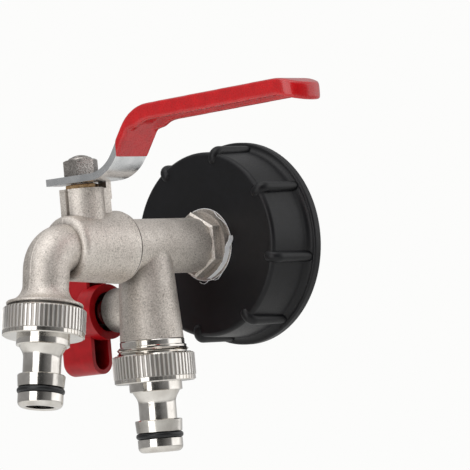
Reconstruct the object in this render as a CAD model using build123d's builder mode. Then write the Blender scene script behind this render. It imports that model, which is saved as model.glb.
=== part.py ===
from build123d import *
from math import cos, radians, sin, sqrt
import os

# Twin-outlet ball-valve tap on a screw cap for an intermediate bulk container.
# The origin is the centre of the cap's open mouth. +Y points into the container,
# the tap reaches out along -Y, and +Z is up. Lengths are millimetres.

os.makedirs("parts", exist_ok=True)

# Fits
seat_gap = 0.02        # between pieces that are screwed or pressed together
run_gap = 0.05         # around anything that turns

# Screw cap
tank_thread_r = 30.3   # wall of the coarse 60 mm thread
tank_thread_end = -12.6
gasket_pocket_r = tank_thread_r - 0.4
cap_flange_r = tank_thread_r + 6.6
cap_flange_t = 3.6
cap_height = 22.4
cap_front_r = tank_thread_r + 3.2
cap_back_r = tank_thread_r + 3.8
cap_face_t = 3.2
cap_corner_r = 1.6
cap_root_r = 2.4       # between the cap's wall and its flange
cap_boss_r = tank_thread_r - 11.3
cap_boss_end = tank_thread_end - 1.2
grip_bar_count = 8
grip_bar_phase = 13    # degrees from +Z towards +X
grip_bar_r = 2.1
grip_bar_line = cap_front_r + 0.4
grip_bar_start = cap_front_r - 2.3
grip_bar_rise = 1.0    # how far the bars stand out from the face
gasket_t = 3.0
gasket_inner_r = cap_boss_r + 1.5

# Inlet thread, hexagon and tube
inlet_thread_r = 13.0
tape_t = 0.2
inlet_end = -13.0
inlet_bore_r = 6.6
collar_r = 12.1
collar_front = -24.7
hexagon_af = 20.6
hexagon_front = -29.3
tube_r = 9.9
seam_y = -68.6
rear_flange_r = 12.6
rear_flange_t = 1.3
seam_groove = 0.4      # chamfer on both sides of the joint
spigot_r = 10.75

# Branch
branch_y = -54.3
branch_top_r = 9.4
branch_base_r = 11.45
branch_base_z = -33.6
branch_ball_z = -21.6
branch_ball_r = 7.5
branch_bore_r = 5.0
branch_seat_reach = 7.4
branch_boss_r = 8.0
branch_boss_reach = 17.0
adapter_spigot_r = 9.2

# Main valve
stem_y = -83.42
ball_r = 8.9
ball_bore_r = 6.0
ball_seat_reach = 7.52
housing_seam_r = 13.04
housing_front_r = 11.6
housing_front = -92.8
neck_r = 8.7
shoulder_r = 2.6
tower_r = 7.5
tower_top = 21.0
stem_r = 3.9
plate_z = 22.9
gland_hexagon_af = 10.6
stop_top = 24.1
seal_t = 0.35

# Outlet spout
spout_tilt = 10.4
spout_r = 8.1
spout_corner_y = -103.6
elbow_r = 9.5
flare_r = 13.6
outlet_drop = 20.3     # from the spout's corner down its axis to the thread's start
outlet_thread_r = 13.1
outlet_thread_end = -7.4

# Hose connector, measured down from the start of the outlet's thread
ring_top = -1.0
ring_r = 14.35         # floor between the knurl's ridges
ring_chamfer = 0.75
ring_end = -11.3
ring_floor = -9.8
nose_collar_r = 9.48
nose_collar_end = -14.4
nose_neck_r = 6.75
nose_neck_start = -18.7
nose_bulge_top = -24.6
nose_bulge_r = 8.5
groove_top = -29.0
groove_end = -31.5
groove_r = 6.1
nose_tip_r = 8.05
nose_end = -36.2
nose_tip_round = 2.0
nose_bore_r = 5.2

# Lever
lever_t = 2.5
lever_half = 7.9
lever_tail = 10.0
lever_rise_start = 18.6
lever_knee = (33.5, 46.3)
lever_crest = (103.5, 48.0)
lever_tip = (112.3, 45.4)
lip_depth = 2.4
skin_t = 0.55
skin_start = 25.0

# Butterfly handle, measured out from the branch's axis
handle_rim = branch_boss_reach + 3.2
handle_cup_r = 10.0
handle_face = handle_rim + 7.0
wing_back = handle_face - 1.95
wing_front = handle_face + 14.3
wing_half = 5.1
wing_reach = 22.2
wing_start = 4.0
wing_wall = 1.6

branch_axis = Axis((0, branch_y, 0), (0, 0, 1))
stem_axis = Axis((0, stem_y, 0), (0, 0, 1))
side_axis = Axis((0, branch_y, branch_ball_z), (-1, 0, 0))
stem_plane = Plane(origin=(0, stem_y, 0), x_dir=(1, 0, 0), z_dir=(0, -1, 0))
branch_plane = Plane(origin=(0, branch_y, 0), x_dir=(1, 0, 0), z_dir=(0, -1, 0))
# Profiles on side_plane have x out along the side stem and y as the radius;
# across_side looks along that stem, with its own y up.
side_plane = Plane(origin=(0, branch_y, branch_ball_z), x_dir=(-1, 0, 0), z_dir=(0, 1, 0))
across_side = Plane(origin=(0, branch_y, branch_ball_z), x_dir=(0, -1, 0), z_dir=(-1, 0, 0))

tilt = radians(spout_tilt)
spout_up = Vector(0, sin(tilt), cos(tilt))
spout_corner = Vector(0, spout_corner_y, 0)
spout_thread = spout_corner - spout_up * outlet_drop
rear_thread_z = -37.6
outlets = {
    "front": Plane(origin=spout_thread, x_dir=(1, 0, 0), z_dir=(0, -cos(tilt), sin(tilt))),
    "rear": Plane(origin=(0, branch_y, rear_thread_z), x_dir=(1, 0, 0), z_dir=(0, -1, 0)),
}


def write(builder, name):
    builder.part.label = name
    export_step(builder.part, f"parts/{name}.step")


def square_ring(plane, inner, outer, low, high):
    # Turned about the plane's y axis; low and high are heights on it.
    with BuildPart() as made:
        with BuildSketch(plane):
            with Locations((inner, low)):
                Rectangle(outer - inner, high - low, align=(Align.MIN, Align.MIN))
        revolve(axis=Axis(plane.origin, plane.y_dir))
    return made


def ball_seat(centre, flow, side, inner, outer, face, reach, ball):
    # The face towards the ball follows the ball; flow points from the ball to the seat.
    clear = ball + run_gap
    plane = Plane(origin=centre, x_dir=flow, z_dir=side)
    inner_x = sqrt(clear ** 2 - inner ** 2)
    face_y = sqrt(clear ** 2 - face ** 2)
    with BuildPart() as made:
        with BuildSketch(plane):
            with BuildLine():
                Polyline((inner_x, inner), (reach, inner), (reach, outer), (face, outer), (face, face_y))
                RadiusArc((face, face_y), (inner_x, inner), clear)
            make_face()
        revolve(axis=Axis(plane.origin, plane.x_dir))
    return made


def valve_ball(centre, flow, stem, radius, bore, slot_width, slot_floor):
    centre = Vector(*centre)
    with BuildPart() as made:
        with Locations(centre):
            Sphere(radius)
        with BuildSketch(Plane(origin=centre, z_dir=flow)):
            Circle(bore)
        extrude(amount=radius, both=True, mode=Mode.SUBTRACT)
        with BuildSketch(Plane(origin=centre + Vector(*stem) * slot_floor, x_dir=flow, z_dir=stem)):
            Rectangle(slot_width, 2 * radius)
        extrude(amount=radius, mode=Mode.SUBTRACT)
    return made


# Cap: moulded cup with a turned-out flange, inner boss and rounded grip bars
cap_inner_face = -cap_height + cap_face_t
bar_y = -cap_height + grip_bar_r - grip_bar_rise
tap_hole_r = inlet_thread_r + tape_t + seat_gap
with BuildPart() as tank_cap:
    with BuildSketch(Plane.XY):
        with BuildLine():
            Polyline(
                (tap_hole_r, -cap_height), (cap_front_r, -cap_height), (cap_back_r, -cap_flange_t),
                (cap_flange_r, -cap_flange_t), (cap_flange_r, 0), (tank_thread_r, 0),
                (tank_thread_r, tank_thread_end), (gasket_pocket_r, tank_thread_end),
                (gasket_pocket_r, cap_inner_face), (cap_boss_r, cap_inner_face), (cap_boss_r, cap_boss_end),
                (tap_hole_r, cap_boss_end), close=True)
        make_face()
    revolve(axis=Axis.Y)
    rims = tank_cap.edges().filter_by(GeomType.CIRCLE)
    fillet(rims.filter_by(lambda e: abs(e.radius - cap_front_r) < 0.01), cap_corner_r)
    rims = tank_cap.edges().filter_by(GeomType.CIRCLE)
    fillet(rims.filter_by(lambda e: abs(e.radius - cap_back_r) < 0.01), cap_root_r)
    rims = tank_cap.edges().filter_by(GeomType.CIRCLE)
    fillet(rims.filter_by(lambda e: abs(e.radius - cap_flange_r) < 0.01), 0.8)
    for step in range(grip_bar_count):
        turn = radians(grip_bar_phase + 360 * step / grip_bar_count)
        outward = Vector(sin(turn), 0, cos(turn))
        bar_front = Vector(0, bar_y, 0)
        start = outward * grip_bar_start + bar_front
        corner = outward * grip_bar_line + bar_front
        finish = outward * grip_bar_line - Vector(0, cap_flange_t, 0)
        with BuildLine() as bar_line:
            FilletPolyline(start, corner, finish, radius=grip_bar_r + 0.1)
        with BuildSketch(Plane(origin=start, z_dir=outward)):
            Circle(grip_bar_r)
        sweep(path=bar_line.line)
        with Locations(start):
            Sphere(grip_bar_r)
write(tank_cap, "tank_cap")

# Flat rubber gasket that the container's spout presses on
with BuildPart() as cap_gasket:
    with BuildSketch(Plane.XZ.offset(-cap_inner_face)):
        Circle(gasket_pocket_r - 0.1)
        Circle(gasket_inner_r, mode=Mode.SUBTRACT)
    extrude(amount=-gasket_t)
write(cap_gasket, "cap_gasket")

# Thread tape wound on the inlet thread
tape_front = -cap_height
with BuildPart() as thread_tape:
    with BuildSketch(Plane.XZ.offset(-tape_front)):
        Circle(inlet_thread_r + tape_t)
        Circle(inlet_thread_r, mode=Mode.SUBTRACT)
    extrude(amount=-(cap_boss_end - tape_front))
write(thread_tape, "thread_tape")

# Rear body: inlet, hexagon, tube, conical branch and stem boss cast as one
spigot_end = stem_y + ball_seat_reach
branch_seat_low = branch_ball_z - branch_seat_reach
branch_seat_high = branch_ball_z + branch_seat_reach
branch_cavity_r = branch_ball_r + 0.85
side_flange_r = 3.8
side_shaft_r = 2.9
side_packing_r = 4.6
side_packing_start = branch_boss_reach - 6.5
side_packing_end = branch_boss_reach - 4.5
side_shoulder = side_packing_start - 1.5
with BuildPart() as rear_body:
    with BuildSketch(Plane.XY):
        with BuildLine():
            Polyline(
                (0, inlet_end), (inlet_thread_r - 1, inlet_end), (inlet_thread_r, inlet_end - 1),
                (inlet_thread_r, tape_front), (collar_r, tape_front), (collar_r, collar_front),
                (0, collar_front), close=True)
        make_face()
    revolve(axis=Axis.Y)
    with BuildSketch(Plane.XZ.offset(-collar_front)):
        RegularPolygon(hexagon_af / 2, 6, major_radius=False, rotation=90)
    extrude(amount=collar_front - hexagon_front)
    chamfer(rear_body.faces().sort_by(Axis.Y)[0].edges(), 0.8)
    with BuildSketch(Plane.XY):
        with BuildLine():
            Polyline(
                (0, hexagon_front + 1), (tube_r, hexagon_front + 1), (tube_r, seam_y + rear_flange_t + 2),
                (rear_flange_r - 0.8, seam_y + rear_flange_t),
                (rear_flange_r, seam_y + rear_flange_t - 0.4), (rear_flange_r, seam_y + seam_groove),
                (rear_flange_r - seam_groove, seam_y), (spigot_r, seam_y), (spigot_r, spigot_end),
                (0, spigot_end), close=True)
        make_face()
    revolve(axis=Axis.Y)
    with BuildSketch(branch_plane):
        with BuildLine():
            Polyline(
                (0, 0), (branch_top_r, 0), (branch_base_r, branch_base_z), (0, branch_base_z), close=True)
        make_face()
    revolve(axis=branch_axis)
    with BuildSketch(side_plane):
        Rectangle(branch_boss_reach, branch_boss_r, align=(Align.MIN, Align.MIN))
    revolve(axis=side_axis)
    rims = rear_body.edges().filter_by(GeomType.CIRCLE)
    fillet(rims.filter_by(lambda e: abs(e.radius - branch_boss_r) < 0.01).sort_by(Axis.X)[0], 1.2)
    # Water way, ball chamber and stem bore
    with BuildSketch(Plane.XZ.offset(-inlet_end)):
        Circle(inlet_bore_r)
    extrude(amount=inlet_end - spigot_end, mode=Mode.SUBTRACT)
    with BuildSketch(branch_plane):
        with BuildLine():
            Polyline(
                (0, 0), (branch_bore_r, 0), (branch_bore_r, branch_seat_high),
                (branch_cavity_r, branch_seat_high),
                (branch_cavity_r, branch_seat_low), (adapter_spigot_r + seat_gap, branch_seat_low),
                (adapter_spigot_r + seat_gap, branch_base_z), (0, branch_base_z), close=True)
        make_face()
    revolve(axis=branch_axis, mode=Mode.SUBTRACT)
    with BuildSketch(side_plane):
        with BuildLine():
            Polyline(
                (0, 0), (0, side_flange_r + run_gap), (side_shoulder, side_flange_r + run_gap),
                (side_shoulder, side_shaft_r + run_gap), (side_packing_start, side_shaft_r + run_gap),
                (side_packing_start, side_packing_r), (branch_boss_reach, side_packing_r),
                (branch_boss_reach, 0), close=True)
        make_face()
    revolve(axis=side_axis, mode=Mode.SUBTRACT)
write(rear_body, "rear_body")

# Front body: ball housing, stem tower with its stop, elbow and flared spout
stem_flange_r = 4.6
stem_packing_r = 5.6
stem_packing_z = tower_top - 8.0
stem_shoulder = stem_packing_z - 2.1
housing_cavity_r = ball_seat_reach + 1.9
front_seat_end = stem_y - ball_seat_reach
flare_top = 6.8
flare_rim = 0.9
thread_root_r = 12.2
spout_plane = outlets["front"]
spout_axis = Axis(spout_plane.origin, spout_plane.y_dir)
with BuildPart() as front_body:
    with BuildSketch(Plane.XY):
        with BuildLine():
            Polyline(
                (0, seam_y), (housing_seam_r - seam_groove, seam_y), (housing_seam_r, seam_y - seam_groove),
                (housing_front_r, housing_front))
            RadiusArc(
                (housing_front_r, housing_front),
                (housing_front_r - shoulder_r, housing_front - shoulder_r), shoulder_r)
            Polyline(
                (housing_front_r - shoulder_r, housing_front - shoulder_r), (0, housing_front - shoulder_r),
                (0, seam_y))
        make_face()
    revolve(axis=Axis.Y)
    with BuildLine() as elbow:
        FilletPolyline(
            (0, housing_front - 1, 0), (0, spout_corner_y, 0),
            tuple(spout_corner - spout_up * (outlet_drop - 5.0)), radius=elbow_r)
    with BuildSketch(Plane(origin=elbow.line @ 0, z_dir=elbow.line % 0)):
        Circle(neck_r)
    with BuildSketch(Plane(origin=elbow.line @ 1, z_dir=elbow.line % 1)):
        Circle(spout_r)
    sweep(path=elbow.line, multisection=True)
    with BuildSketch(spout_plane):
        with BuildLine():
            Line((0, flare_top), (spout_r, flare_top))
            Spline((spout_r, flare_top), (flare_r - 0.3, flare_rim), tangents=((0.1, -1), (1, -0.25)))
            Polyline(
                (flare_r - 0.3, flare_rim), (flare_r, flare_rim - 0.3), (flare_r, 0.1),
                (flare_r - 0.3, -0.2), (thread_root_r, -0.2), (thread_root_r, ring_top),
                (outlet_thread_r, ring_top - 0.4),
                (outlet_thread_r, outlet_thread_end + 0.8), (outlet_thread_r - 0.8, outlet_thread_end),
                (0, outlet_thread_end), (0, flare_top))
        make_face()
    revolve(axis=spout_axis)
    with BuildSketch(Plane.XY.offset(6)):
        with Locations((0, stem_y)):
            Circle(tower_r)
    extrude(amount=tower_top - 6)
    with BuildSketch(Plane.XY.offset(8)):
        with Locations((-1.9, stem_y)):
            Rectangle(2.8, 8.5, align=(Align.CENTER, Align.MAX))
        with Locations((1.5, stem_y)):
            Rectangle(5.0, 9.9, align=(Align.CENTER, Align.MIN))
    extrude(amount=tower_top - 8)
    # Stop that the lever meets at both ends of its travel
    with BuildSketch(Plane.XY.offset(tower_top - 4)):
        with Locations((0.15, stem_y + lever_half + 0.1)):
            Rectangle(3.85, 2.5, align=(Align.MIN, Align.MIN))
    extrude(amount=stop_top - tower_top + 4)
    # Socket, ball chamber, water way and stem bore
    with BuildSketch(Plane.XY):
        with BuildLine():
            Polyline(
                (0, seam_y), (spigot_r + 1.3, seam_y), (spigot_r + 1.3, seam_y - seal_t),
                (spigot_r + seat_gap, seam_y - seal_t), (spigot_r + seat_gap, spigot_end - 0.3),
                (housing_cavity_r, spigot_end - 0.3), (housing_cavity_r, front_seat_end),
                (0, front_seat_end), close=True)
        make_face()
    revolve(axis=Axis.Y, mode=Mode.SUBTRACT)
    with BuildLine() as channel:
        FilletPolyline(
            (0, front_seat_end + 1, 0), (0, spout_corner_y, 0),
            tuple(spout_thread + spout_up * (outlet_thread_end - 1)), radius=elbow_r)
    with BuildSketch(Plane(origin=channel.line @ 0, z_dir=channel.line % 0)):
        Circle(ball_bore_r)
    sweep(path=channel.line, mode=Mode.SUBTRACT)
    with BuildSketch(stem_plane):
        with BuildLine():
            Polyline(
                (0, 5), (stem_flange_r + run_gap, 5), (stem_flange_r + run_gap, stem_shoulder),
                (stem_r + run_gap, stem_shoulder), (stem_r + run_gap, stem_packing_z),
                (stem_packing_r, stem_packing_z), (stem_packing_r, tower_top), (0, tower_top), close=True)
        make_face()
    revolve(axis=stem_axis, mode=Mode.SUBTRACT)
write(front_body, "front_body")

# Fibre ring in the joint between the two bodies
seal_inner = spigot_r + seat_gap
seal_outer = spigot_r + 1.3 - seat_gap
write(square_ring(Plane.XY, seal_inner, seal_outer, seam_y - seal_t, seam_y), "body_joint_seal")

# Main ball, closed: its bore lies across the flow. Two seats hold it.
main_centre = (0, stem_y, 0)
main_seat = dict(side=(1, 0, 0), inner=6.3, outer=housing_cavity_r - seat_gap, face=4.2,
                 reach=ball_seat_reach, ball=ball_r)
write(ball_seat(main_centre, (0, 1, 0), **main_seat), "inlet_ball_seat")
write(ball_seat(main_centre, (0, -1, 0), **main_seat), "outlet_ball_seat")
tang_half = 1.6
slot_floor = ball_r - 2.3
main_ball = valve_ball(main_centre, (1, 0, 0), (0, 0, 1), ball_r, ball_bore_r, 2 * tang_half, slot_floor)
write(main_ball, "main_ball")

# Stem: tang in the ball's slot, anti-blow-out flange, shaft, flats for the lever and thread
stem_neck_r = 2.95
stem_flat_half = 2.3
stem_end = 33.1
stem_dome_r = 7.0
stem_dome = stem_dome_r - sqrt(stem_dome_r ** 2 - stem_neck_r ** 2)
with BuildPart() as main_stem:
    with BuildSketch(stem_plane):
        with BuildLine():
            Polyline(
                (0, stem_shoulder - 1.4), (stem_flange_r, stem_shoulder - 1.4),
                (stem_flange_r, stem_shoulder - 0.1), (stem_r, stem_shoulder - 0.1), (stem_r, plate_z),
                (stem_neck_r, plate_z), (stem_neck_r, stem_end - stem_dome))
            RadiusArc((stem_neck_r, stem_end - stem_dome), (0, stem_end), -stem_dome_r)
            Line((0, stem_end), (0, stem_shoulder - 1.4))
        make_face()
    revolve(axis=stem_axis)
    with BuildSketch(Plane.XY.offset(slot_floor + 0.15)):
        with Locations((0, stem_y)):
            Rectangle(2 * (tang_half - run_gap), 6.4)
    extrude(amount=3)
    with BuildSketch(Plane.XY.offset(plate_z)):
        with Locations((0, stem_y)):
            Rectangle(8, 8)
            Rectangle(8, 2 * stem_flat_half, mode=Mode.SUBTRACT)
    extrude(amount=lever_t, mode=Mode.SUBTRACT)
write(main_stem, "main_stem")

packing_inner = stem_r + run_gap
packing_outer = stem_packing_r - seat_gap
packing_top = stem_packing_z + 2.6
stem_packing = square_ring(stem_plane, packing_inner, packing_outer, stem_packing_z, packing_top)
write(stem_packing, "stem_packing")

# Brass gland nut: thread inside the tower, low hexagon above it
gland_top = plate_z - 0.35
with BuildPart() as stem_gland:
    with BuildSketch(Plane.XY.offset(packing_top)):
        with Locations((0, stem_y)):
            Circle(packing_outer)
    extrude(amount=tower_top - packing_top)
    with BuildSketch(Plane.XY.offset(tower_top)):
        with Locations((0, stem_y)):
            RegularPolygon(gland_hexagon_af / 2, 6, major_radius=False)
    extrude(amount=gland_top - tower_top)
    chamfer(stem_gland.faces().sort_by(Axis.Z)[-1].edges(), 0.3)
    with BuildSketch(Plane.XY.offset(packing_top)):
        with Locations((0, stem_y)):
            Circle(packing_inner)
    extrude(amount=gland_top - packing_top, mode=Mode.SUBTRACT)
write(stem_gland, "stem_gland")

# Lever: pressed strip with a knee, a crest and a rim turned down round the arm
plate_top = plate_z + lever_t
lever_line = [
    (-lever_tail, plate_top), (lever_rise_start, plate_top), lever_knee, lever_crest, lever_tip]
lever_bends = [14.0, 16.0, 14.0]
lip_root = (31.0, 39.4)
lip_full = (50.0, 41.2)
past_tip = lever_tip[0] + 10
arm_clear = lever_crest[1] + 10


def lever_plan(grow):
    # Straight sides, a half-round tip, and a tail whose far half is round about the
    # stem so that it passes the stop.
    half = lever_half + grow
    tail = lever_tail + grow
    straight_end = lever_tip[0] - lever_half
    with BuildSketch() as plan:
        with BuildLine():
            Polyline((-tail, 0), (-tail, -half), (straight_end, -half))
            RadiusArc((straight_end, -half), (straight_end, half), -half)
            Line((straight_end, half), (0, half))
            RadiusArc((0, half), (-half, 0), -half)
            Line((-half, 0), (-tail, 0))
        make_face()
    return plan.sketch


def lever_slab(line, above, below, grow):
    # Everything between two offsets of the lever's line, cut to its plan.
    with BuildPart() as slab:
        with BuildSketch(stem_plane):
            with BuildLine():
                FilletPolyline(*line, radius=lever_bends)
                offset(amount=below, side=Side.RIGHT)
            make_face()
            if above > 0:
                with BuildLine():
                    FilletPolyline(*line, radius=lever_bends)
                    offset(amount=above, side=Side.LEFT)
                make_face()
        extrude(amount=lever_half + skin_t, both=True)
        with BuildSketch(Plane.XY.offset(plate_z - 1)):
            with Locations((0, stem_y)):
                add(lever_plan(grow))
        extrude(amount=40, mode=Mode.INTERSECT)
    return slab.part


def lever_rim(line, below, outside, wall):
    # The turned-down rim: it grows out of the slope and runs round the tip.
    with BuildPart() as rim:
        add(lever_slab(line, 0, below, outside))
        with BuildSketch(stem_plane):
            with BuildLine():
                Polyline(
                    (lip_root[0] - outside, lip_root[1] - 1.6 * outside),
                    (lip_full[0], lip_full[1] - outside), (lip_full[0], plate_z), (past_tip, plate_z),
                    (past_tip, arm_clear), (lip_root[0] - outside, arm_clear), close=True)
            make_face()
        extrude(amount=lever_half + skin_t, both=True, mode=Mode.INTERSECT)
        with BuildSketch(Plane.XY.offset(plate_z - 1)):
            with Locations((0, stem_y)):
                add(lever_plan(outside - wall))
        extrude(amount=40, mode=Mode.SUBTRACT)
    return rim.part


with BuildPart() as lever_plate:
    add(lever_slab(lever_line, 0, lever_t, 0))
    add(lever_rim(lever_line, lever_t + lip_depth, 0, lever_t))
    with BuildSketch(Plane.XY.offset(plate_z)):
        with Locations((0, stem_y)):
            Circle(stem_neck_r + seat_gap)
            Rectangle(8, 2 * (stem_flat_half + seat_gap), mode=Mode.INTERSECT)
    extrude(amount=lever_t, mode=Mode.SUBTRACT)
write(lever_plate, "lever_plate")

# Vinyl grip dipped over the arm; its inside is the pressed strip's own shape
tip_run = Vector(*lever_tip) - Vector(*lever_crest)
grip_end = Vector(*lever_tip) + tip_run.normalized() * 2
grip_line = lever_line[:-1] + [(grip_end.X, grip_end.Y)]
with BuildPart() as lever_grip:
    add(lever_slab(grip_line, skin_t, lever_t + skin_t, skin_t))
    add(lever_rim(grip_line, lever_t + lip_depth + skin_t, skin_t, lever_t + 2 * skin_t))
    with BuildSketch(Plane.XY.offset(plate_z - 1)):
        with Locations((0, stem_y)):
            Rectangle(2 * skin_start, 40)
    extrude(amount=40, mode=Mode.SUBTRACT)
    add(lever_plate.part, mode=Mode.SUBTRACT)
write(lever_grip, "lever_grip")

# Self-locking nut: hexagon with a low crimped collar
nut_af = 11.0
nut_hexagon_top = 31.4
nut_collar_r = 4.3
nut_crimp_top = nut_hexagon_top + 0.9
with BuildPart() as lever_nut:
    with BuildSketch(Plane.XY.offset(plate_top)):
        with Locations((0, stem_y)):
            RegularPolygon(nut_af / 2, 6, major_radius=False)
    extrude(amount=nut_hexagon_top - plate_top)
    with BuildSketch(stem_plane):
        with BuildLine():
            Polyline((0, plate_top), (nut_af, plate_top), (nut_af, nut_hexagon_top - 2.4),
                     (nut_af / 2 - 0.3, nut_hexagon_top), (0, nut_hexagon_top), close=True)
        make_face()
    revolve(axis=stem_axis, mode=Mode.INTERSECT)
    with BuildSketch(stem_plane):
        with BuildLine():
            Polyline(
                (0, nut_hexagon_top - 1), (nut_collar_r, nut_hexagon_top - 1),
                (nut_collar_r, nut_hexagon_top + 0.2))
            RadiusArc((nut_collar_r, nut_hexagon_top + 0.2), (stem_neck_r + 0.1, nut_crimp_top), -1.6)
            Polyline((stem_neck_r + 0.1, nut_crimp_top), (0, nut_crimp_top), (0, nut_hexagon_top - 1))
        make_face()
    revolve(axis=stem_axis)
    with BuildSketch(Plane.XY.offset(plate_top)):
        with Locations((0, stem_y)):
            Circle(stem_neck_r + seat_gap)
    extrude(amount=10, mode=Mode.SUBTRACT)
write(lever_nut, "lever_nut")

# Branch valve, open: its bore lies along the branch
branch_centre = (0, branch_y, branch_ball_z)
branch_seat = dict(side=(1, 0, 0), inner=5.3, outer=branch_cavity_r - seat_gap, face=3.9,
                   reach=branch_seat_reach, ball=branch_ball_r)
write(ball_seat(branch_centre, (0, 0, 1), **branch_seat), "branch_upper_seat")
write(ball_seat(branch_centre, (0, 0, -1), **branch_seat), "branch_lower_seat")
branch_slot_floor = branch_ball_r - 1.9
branch_ball = valve_ball(
    branch_centre, (0, 0, 1), (-1, 0, 0), branch_ball_r, branch_bore_r, 2 * tang_half, branch_slot_floor)
write(branch_ball, "branch_ball")

side_square = 4.2
side_square_start = handle_face - 5.6
side_stem_end = side_square_start + 4.0
screw_r = 1.55
screw_reach = side_stem_end - 8.1
with BuildPart() as branch_stem:
    with BuildSketch(side_plane):
        with BuildLine():
            Polyline(
                (side_shoulder - 1.2, 0), (side_shoulder - 1.2, side_flange_r),
                (side_shoulder - 0.1, side_flange_r), (side_shoulder - 0.1, side_shaft_r),
                (side_stem_end, side_shaft_r), (side_stem_end, 0), close=True)
        make_face()
    revolve(axis=side_axis)
    with BuildSketch(across_side.offset(branch_slot_floor + 0.15)):
        Rectangle(5.2, 2 * (tang_half - run_gap))
    extrude(amount=2.4)
    with BuildSketch(across_side.offset(side_square_start)):
        Rectangle(8, 8)
        Rectangle(side_square, side_square, mode=Mode.SUBTRACT)
    extrude(amount=side_stem_end - side_square_start, mode=Mode.SUBTRACT)
    with BuildSketch(across_side.offset(screw_reach)):
        Circle(screw_r + seat_gap)
    extrude(amount=side_stem_end - screw_reach, mode=Mode.SUBTRACT)
write(branch_stem, "branch_stem")

branch_packing = square_ring(
    Plane(origin=side_plane.origin, x_dir=(0, 1, 0), z_dir=(0, 0, 1)), side_shaft_r + run_gap,
    side_packing_r - seat_gap, side_packing_start, side_packing_end)
write(branch_packing, "branch_packing")

side_gland_af = 9.6
side_gland_end = branch_boss_reach + 1.9
with BuildPart() as branch_gland:
    with BuildSketch(across_side.offset(side_packing_end)):
        Circle(side_packing_r - seat_gap)
    extrude(amount=branch_boss_reach - side_packing_end)
    with BuildSketch(across_side.offset(branch_boss_reach)):
        RegularPolygon(side_gland_af / 2, 6, major_radius=False)
    extrude(amount=side_gland_end - branch_boss_reach)
    chamfer(branch_gland.faces().sort_by(Axis.X)[0].edges(), 0.3)
    with BuildSketch(across_side.offset(side_packing_end)):
        Circle(side_shaft_r + run_gap)
    extrude(amount=10, mode=Mode.SUBTRACT)
write(branch_gland, "branch_gland")

# Butterfly handle: open-backed cup round the gland and two hollow wings
cup_inner_r = 6.9
cup_floor = handle_face - 3.0
hub_r = 4.4
recess_r = 3.7
recess_floor = handle_face - 1.2
wing_stub_end = wing_reach - wing_half
hollow_half = wing_half - wing_wall
hollow_start = cup_inner_r + 2.25
with BuildPart() as butterfly_handle:
    for way in (1, -1):
        lengthwise = Align.MIN if way > 0 else Align.MAX
        with BuildSketch(across_side.offset(wing_back)):
            with Locations((0, way * wing_start)):
                Rectangle(2 * wing_half, wing_stub_end - wing_start, align=(Align.CENTER, lengthwise))
            with Locations((0, way * wing_stub_end)):
                Circle(wing_half)
        extrude(amount=wing_front - wing_back)
    fillet(butterfly_handle.faces().filter_by(Axis.X).group_by(Axis.X)[0].edges(), 2.6)
    # The wings' inner ends slope outward from the face of the hub
    with BuildSketch(side_plane):
        with BuildLine():
            Polyline((handle_face + 6.5, 0), (handle_face + 6.5, wing_start), (wing_front + 1, 10.6),
                     (wing_front + 1, 0), close=True)
        make_face()
    revolve(axis=side_axis, mode=Mode.SUBTRACT)
    with BuildSketch(side_plane):
        with Locations((handle_rim, 0)):
            Rectangle(handle_face - handle_rim, handle_cup_r, align=(Align.MIN, Align.MIN))
    revolve(axis=side_axis)
    for way in (1, -1):
        lengthwise = Align.MIN if way > 0 else Align.MAX
        with BuildSketch(across_side.offset(wing_back)):
            with Locations((0, way * hollow_start)):
                Rectangle(2 * hollow_half, wing_stub_end - hollow_start, align=(Align.CENTER, lengthwise))
            with Locations((0, way * wing_stub_end)):
                Circle(hollow_half)
        extrude(amount=wing_front - wing_back - wing_wall, mode=Mode.SUBTRACT)
    with BuildSketch(side_plane):
        with BuildLine():
            Polyline(
                (handle_rim, 0), (handle_rim, cup_inner_r + 0.3), (handle_rim + 0.6, cup_inner_r),
                (cup_floor - 1.5, cup_inner_r - 0.2), (cup_floor, cup_inner_r - 1.6), (cup_floor, hub_r),
                (side_square_start, hub_r), (side_square_start, 0), close=True)
        make_face()
    revolve(axis=side_axis, mode=Mode.SUBTRACT)
    with BuildSketch(across_side.offset(side_square_start)):
        Rectangle(side_square + 2 * seat_gap, side_square + 2 * seat_gap)
    extrude(amount=handle_face - side_square_start, mode=Mode.SUBTRACT)
    with BuildSketch(across_side.offset(recess_floor)):
        Circle(recess_r)
    extrude(amount=handle_face - recess_floor + 1, mode=Mode.SUBTRACT)
write(butterfly_handle, "butterfly_handle")

# Pan-head screw that holds the handle on the square
screw_head_r = 3.4
screw_head_t = 2.0
with BuildPart() as handle_screw:
    with BuildSketch(side_plane):
        with BuildLine():
            Polyline((screw_reach + 0.3, 0), (screw_reach + 0.3, screw_r), (recess_floor, screw_r),
                     (recess_floor, screw_head_r), (recess_floor + 0.9, screw_head_r))
            RadiusArc((recess_floor + 0.9, screw_head_r), (recess_floor + screw_head_t, 0), -5.8)
            Line((recess_floor + screw_head_t, 0), (screw_reach + 0.3, 0))
        make_face()
    revolve(axis=side_axis)
    with BuildSketch(across_side.offset(recess_floor + screw_head_t - 1.1)):
        Rectangle(4.2, 0.9)
        Rectangle(0.9, 4.2)
    extrude(amount=3, mode=Mode.SUBTRACT)
write(handle_screw, "handle_screw")

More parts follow.
